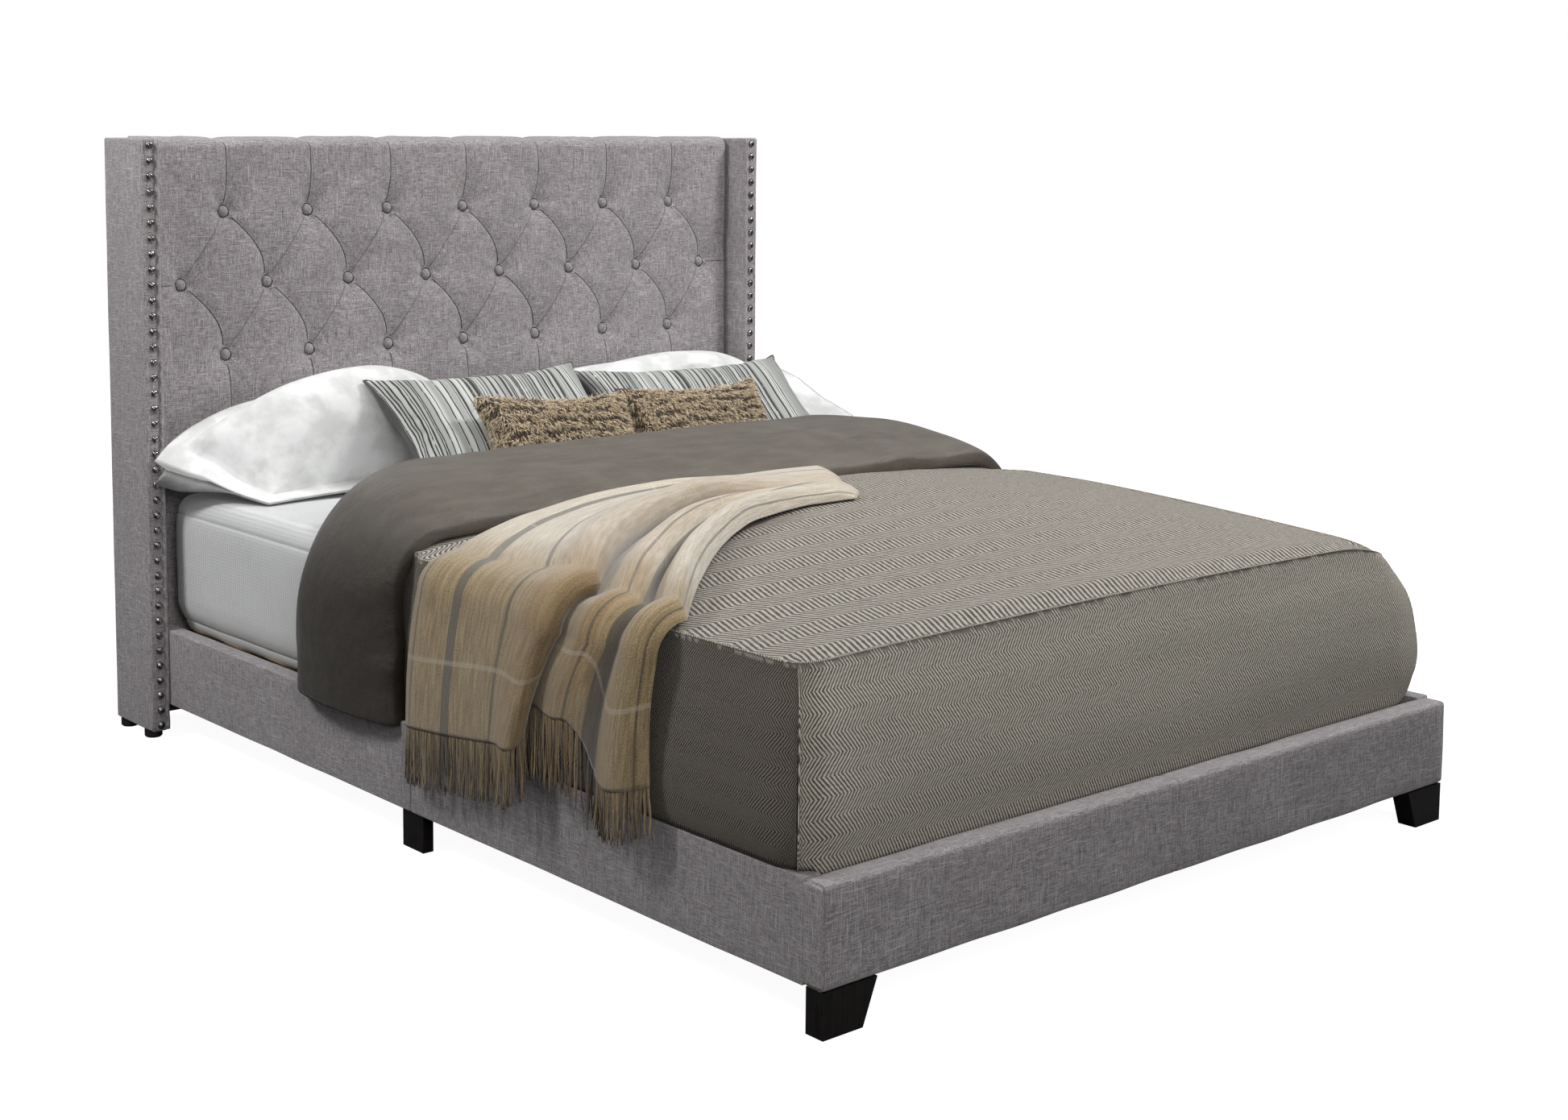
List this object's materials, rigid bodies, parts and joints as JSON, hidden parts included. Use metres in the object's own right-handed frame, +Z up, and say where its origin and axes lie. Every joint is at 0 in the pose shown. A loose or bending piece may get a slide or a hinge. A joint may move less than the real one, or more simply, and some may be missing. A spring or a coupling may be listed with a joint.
{
  "type": "upholstered wing-back bed",
  "caption": "Low upholstered platform bed with a button-tufted wing headboard edged in nailheads, slatted base, mattress, comforter, throw and pillows.",
  "frame": {"origin": "on the floor under the middle of the bed's bounding box", "axes": "+Z up, +Y along the bed towards the headboard, -Y towards the footboard, +X to the right seen from the foot"},
  "size_m": [1.724, 2.21, 1.291],
  "materials": {
    "plywood": "unfinished birch-faced plywood",
    "timber": "planed pine, unfinished",
    "slat_wood": "planed pine slats, unfinished",
    "dust_cloth": "black spun-bonded dust cloth",
    "grey_linen": "matt grey linen-look weave with slubs",
    "twine": "waxed tufting twine",
    "nailhead_steel": "polished gunmetal domes",
    "zinc_steel": "zinc-plated",
    "glide_plastic": "moulded black plastic",
    "leveler_steel": "zinc-plated stem in a black foot",
    "black_wood": "black-stained hardwood, satin lacquer",
    "webbing": "woven polypropylene webbing",
    "mattress_knit": "white stretch knit with fine ribs",
    "herringbone": "grey-brown herringbone weave, quilted",
    "taupe_sateen": "taupe cotton sateen, soft sheen",
    "plaid_wool": "beige plaid wool with twisted fringe",
    "white_cotton": "white percale cotton",
    "striped_cotton": "light grey-green cotton with dark hand-drawn stripes",
    "brown_fur": "brown short-pile fur, darker rippled ridges"
  },
  "bodies": {
    "bed_frame": {"headboard_board": "plywood", "headboard_stiles": "timber", "headboard_crossrails": "timber", "headboard_back_cloth": "dust_cloth", "tufted_pad": "grey_linen", "lower_panel_pad": "grey_linen", "tuft_buttons": "grey_linen", "button_ties": "twine", "wing_core_left": "timber", "wing_core_right": "timber", "wing_cover_left": "grey_linen", "wing_cover_right": "grey_linen", "nailheads_left": "nailhead_steel", "nailheads_right": "nailhead_steel", "wing_bolts": "zinc_steel", "headboard_glides": "glide_plastic", "rail_core_left_head": "timber", "rail_core_left_foot": "timber", "rail_core_right_head": "timber", "rail_core_right_foot": "timber", "rail_cover_left_head": "grey_linen", "rail_cover_left_foot": "grey_linen", "rail_cover_right_head": "grey_linen", "rail_cover_right_foot": "grey_linen", "splice_plates": "zinc_steel", "splice_bolts": "zinc_steel", "mid_legs": "black_wood", "footboard_core": "timber", "footboard_cover": "grey_linen", "foot_leg_left": "black_wood", "foot_leg_right": "black_wood", "leg_hanger_bolts": "zinc_steel", "corner_brackets": "zinc_steel", "corner_bolts": "zinc_steel", "slat_ledgers": "timber", "slats": "slat_wood", "slat_screws": "zinc_steel", "slat_webbing": "webbing", "center_beam_head": "timber", "center_beam_foot": "timber", "beam_splice_plates": "zinc_steel", "beam_splice_bolts": "zinc_steel", "beam_end_brackets": "zinc_steel", "beam_bracket_screws": "zinc_steel", "center_legs": "timber", "leveler_inserts": "zinc_steel"},
    "leveler_foot": {"leveler_foot": "leveler_steel"},
    "leveler_middle": {"leveler_middle": "leveler_steel"},
    "leveler_head": {"leveler_head": "leveler_steel"},
    "mattress": {"mattress": "mattress_knit"},
    "comforter": {"comforter": "herringbone", "comforter_fold": "taupe_sateen"},
    "throw": {"throw": "plaid_wool"},
    "sham_left": {"sham_left": "white_cotton"},
    "sham_right": {"sham_right": "white_cotton"},
    "striped_pillow_left": {"striped_pillow_left": "striped_cotton"},
    "striped_pillow_right": {"striped_pillow_right": "striped_cotton"},
    "lumbar_pillow_left": {"lumbar_pillow_left": "brown_fur"},
    "lumbar_pillow_right": {"lumbar_pillow_right": "brown_fur"}
  },
  "joints": [
    {"name": "leveler_foot_screw", "type": "slide", "parent": "bed_frame", "child": "leveler_foot", "axis": [0, 0, 1], "range_m": [-0.01, 0.016]},
    {"name": "leveler_middle_screw", "type": "slide", "parent": "bed_frame", "child": "leveler_middle", "axis": [0, 0, 1], "range_m": [-0.01, 0.016]},
    {"name": "leveler_head_screw", "type": "slide", "parent": "bed_frame", "child": "leveler_head", "axis": [0, 0, 1], "range_m": [-0.01, 0.016]},
    {"name": "mattress_lift", "type": "slide", "parent": "bed_frame", "child": "mattress", "axis": [0, 0, 1], "range_m": [0, 1.1]},
    {"name": "comforter_lift", "type": "slide", "parent": "mattress", "child": "comforter", "axis": [0, 0, 1], "range_m": [0, 1.1]},
    {"name": "throw_lift", "type": "slide", "parent": "comforter", "child": "throw", "axis": [0, 0, 1], "range_m": [0, 1.2]},
    {"name": "sham_left_lift", "type": "slide", "parent": "mattress", "child": "sham_left", "axis": [0, 0, 1], "range_m": [0, 0.8]},
    {"name": "sham_right_lift", "type": "slide", "parent": "mattress", "child": "sham_right", "axis": [0, 0, 1], "range_m": [0, 0.8]},
    {"name": "striped_pillow_left_lift", "type": "slide", "parent": "sham_left", "child": "striped_pillow_left", "axis": [0, 0, 1], "range_m": [0, 0.8]},
    {"name": "striped_pillow_right_lift", "type": "slide", "parent": "sham_right", "child": "striped_pillow_right", "axis": [0, 0, 1], "range_m": [0, 0.8]},
    {"name": "lumbar_pillow_left_lift", "type": "slide", "parent": "striped_pillow_left", "child": "lumbar_pillow_left", "axis": [0, 0, 1], "range_m": [0, 0.8]},
    {"name": "lumbar_pillow_right_lift", "type": "slide", "parent": "striped_pillow_right", "child": "lumbar_pillow_right", "axis": [0, 0, 1], "range_m": [0, 0.8]}
  ]
}
